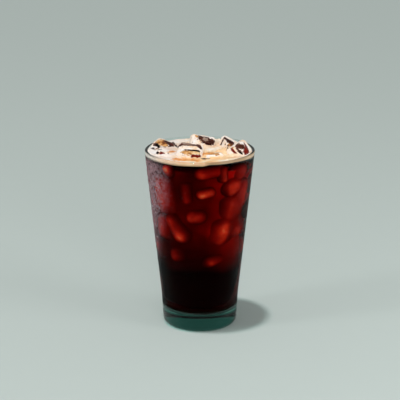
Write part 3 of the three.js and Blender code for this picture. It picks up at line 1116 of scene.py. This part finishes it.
mist = {
    "fromAngle": -152.0,        # degrees from the front, to the left
    "toAngle": -28.0,
    "low": 52.0 * mm,
    "high": 144.5 * mm,
    "lift": 0.02 * mm,
    "thickness": 0.04 * mm,
    "alpha": 0.62,
    "colour": (0.55, 0.32, 0.36),
    "edge": -36.0,              # degrees, where it thins towards the front
    "edgeBack": 24.0,           # how much farther back that is lower down
    "edgeHeights": (62 * mm, 124 * mm),
    "edgeFade": (36.0, 6.0),
    "backFade": (-150.0, -110.0),
    "lowShare": 0.25,
    "lowThin": (54 * mm, 84 * mm),
    "lowFade": (52 * mm, 62 * mm),
    "topFade": (140 * mm, 144.5 * mm),
    "spots": 460.0,             # clear spots per metre
    "gaps": (0.34, 0.44),
    "clouds": 220.0,            # per metre
    "cloudGain": (0.45, 1.25),
    "drops": 2200,
    "dropSize": (0.16, 0.80),   # smallest and largest radius in millimetres
    "dropHeight": 0.62,         # share of its radius
    "dropsPast": 14,            # degrees past the film's front edge
    "dropsUnder": 6 * mm,
    "strayDrops": 0.06,
    "smallDrops": 3.0,          # the higher, the more of them are small
    "dropSink": 0.02 * mm,
    "dropStretch": ((0.85, 1.1), (0.95, 1.35)),     # across and along the wall
    "dropGrain": 700.0,
    "seed": 7,
}


def wayAt(degrees):
    angle = np.radians(degrees)
    return np.sin(angle), -np.cos(angle)


def mistShare(degrees, z):
    # thick at the left, thinning towards the front, the back and the lower half; keeping it to the left,
    # where the side lamp lights it, is painted light
    low, high = mist["edgeHeights"]
    edge = mist["edge"] - mist["edgeBack"] * smoothStep(-z, -high, -low)
    before, after = mist["edgeFade"]
    front = 1.0 - smoothStep(degrees, edge - before, edge + after)
    back = smoothStep(degrees, *mist["backFade"])
    down = mist["lowShare"] + (1.0 - mist["lowShare"]) * smoothStep(z, *mist["lowThin"])
    return front * back * down * smoothStep(z, *mist["lowFade"]) * (1.0 - smoothStep(z, *mist["topFade"]))


def mistMaterial():
    material, tree = newMaterial("mistFilm")
    hazeAndPaintedLight = shareNodes(tree, "hazeAndPaintedLight")[0]
    place = addNode(tree, "ShaderNodeTexCoord").outputs["Object"]
    spots = addNode(tree, "ShaderNodeTexVoronoi", {"Vector": place, "Scale": mist["spots"]})
    gaps = mapNode(tree, spots.outputs["Distance"], *mist["gaps"])
    clouds = noiseNode(tree, mist["clouds"], 3.0)
    uneven = mapNode(tree, clouds, 0.30, 0.70, *mist["cloudGain"])
    alpha = mathNode(tree, "MULTIPLY", hazeAndPaintedLight, mathNode(tree, "MULTIPLY", gaps, uneven))
    alpha = mathNode(tree, "MULTIPLY", alpha, mist["alpha"], clamp=True)
    colour = mixColours(tree, clouds, mist["colour"], tuple(0.9 * c for c in mist["colour"]))
    shader = addNode(tree, "ShaderNodeBsdfPrincipled", {
        "Base Color": colour, "Roughness": 0.6, "Alpha": alpha, "Specular IOR Level": 0.1})
    closeMaterial(tree, shader.outputs[0])
    return material


def dropMaterial():
    material, tree = newMaterial("waterDrops")
    uneven = noiseNode(tree, mist["dropGrain"], 2.0)
    shader = addNode(tree, "ShaderNodeBsdfPrincipled", {
        "Base Color": (1.0, 1.0, 1.0, 1.0), "Roughness": mathNode(tree, "MULTIPLY", uneven, 0.05),
        "IOR": 1.33, "Transmission Weight": 1.0})
    closeMaterial(tree, shader.outputs[0], lampsPass=True)
    return material


def buildMist():
    degrees = np.linspace(mist["fromAngle"], mist["toAngle"], 90)
    heights = np.linspace(mist["low"], mist["high"], 60)
    wall = np.array([outerRadius(z) for z in heights])
    sheets = []
    for lift in (mist["lift"], mist["lift"] + mist["thickness"]):
        radius = wall + lift
        across, forth = wayAt(degrees)
        sheet = np.stack([np.outer(radius, across), np.outer(radius, forth),
                          np.repeat(heights[:, None], len(degrees), axis=1)], axis=2)
        sheets.append(sheet.reshape(-1, 3))
    rows, columns = len(heights), len(degrees)
    under = rows * columns
    faces = []
    for i in range(rows - 1):
        for j in range(columns - 1):
            a = i * columns + j
            quad = (a, a + 1, a + columns + 1, a + columns)
            faces.append(tuple(corner + under for corner in quad))
            faces.append(quad[::-1])
    border = list(range(columns))
    border += [i * columns + columns - 1 for i in range(1, rows)]
    border += [(rows - 1) * columns + j for j in range(columns - 2, -1, -1)]
    border += [i * columns for i in range(rows - 2, 0, -1)]
    for a, b in zip(border, border[1:] + border[:1]):
        faces.append((a, b, b + under, a + under))
    film = addPiece("mist_film", np.concatenate(sheets), faces, mistMaterial())
    # the film's thickness, kept to the lit left side, is partly painted light
    share = mistShare(np.tile(degrees, rows), np.repeat(heights, columns))
    addShare(film, "hazeAndPaintedLight", np.concatenate([share, share]))
    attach(film, "root")


def dropShape(height, sides=8, rings=3):
    # a low dome with a flat back, of radius 1, standing on X = 0
    points = [(height, 0.0, 0.0)]
    faces = []
    for ring in range(1, rings + 1):
        lean = 0.5 * math.pi * ring / rings
        for step in range(sides):
            turn = 2.0 * math.pi * step / sides
            wide = math.sin(lean)
            points.append((height * math.cos(lean), wide * math.cos(turn), wide * math.sin(turn)))
    for step in range(sides):
        after = (step + 1) % sides
        faces.append((0, 1 + step, 1 + after))
        for ring in range(rings - 1):
            a = 1 + ring * sides
            faces.append((a + step, a + sides + step, a + sides + after, a + after))
    last = 1 + (rings - 1) * sides
    faces.append(tuple(last + step for step in reversed(range(sides))))
    return np.array(points), faces


def buildDrops():
    dice = np.random.default_rng(mist["seed"])
    shape, shapeFaces = dropShape(mist["dropHeight"])
    points = []
    faces = []
    small, large = mist["dropSize"]
    while len(points) < mist["drops"]:
        degrees = dice.uniform(mist["fromAngle"], mist["toAngle"] + mist["dropsPast"])
        z = dice.uniform(mist["low"] - mist["dropsUnder"], mist["high"])
        if dice.random() > mist["strayDrops"] + mistShare(degrees, z):
            continue
        size = (small + (large - small) * dice.random() ** mist["smallDrops"]) * mm
        across, forth = wayAt(degrees)
        out = np.array((across, forth, 0.0))
        side = np.array((-forth, across, 0.0))
        slope = np.array((0.0, 0.0, 1.0)) + out * (coneRadius(1.0) - coneRadius(0.0))
        axes = np.array([out, side, slope / np.linalg.norm(slope)])
        stretch = np.array((1.0, *[dice.uniform(*ends) for ends in mist["dropStretch"]]))
        spot = out * (outerRadius(z) - mist["dropSink"]) + np.array((0.0, 0.0, z))
        start = len(points) * len(shape)
        points.append((shape * stretch * size) @ axes + spot)
        faces += [[corner + start for corner in face] for face in shapeFaces]
    drops = addPiece("water_drops", np.concatenate(points), faces, dropMaterial(), sharpAngle=50)
    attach(drops, "root")


buildMist()
buildDrops()
print("mist ready")
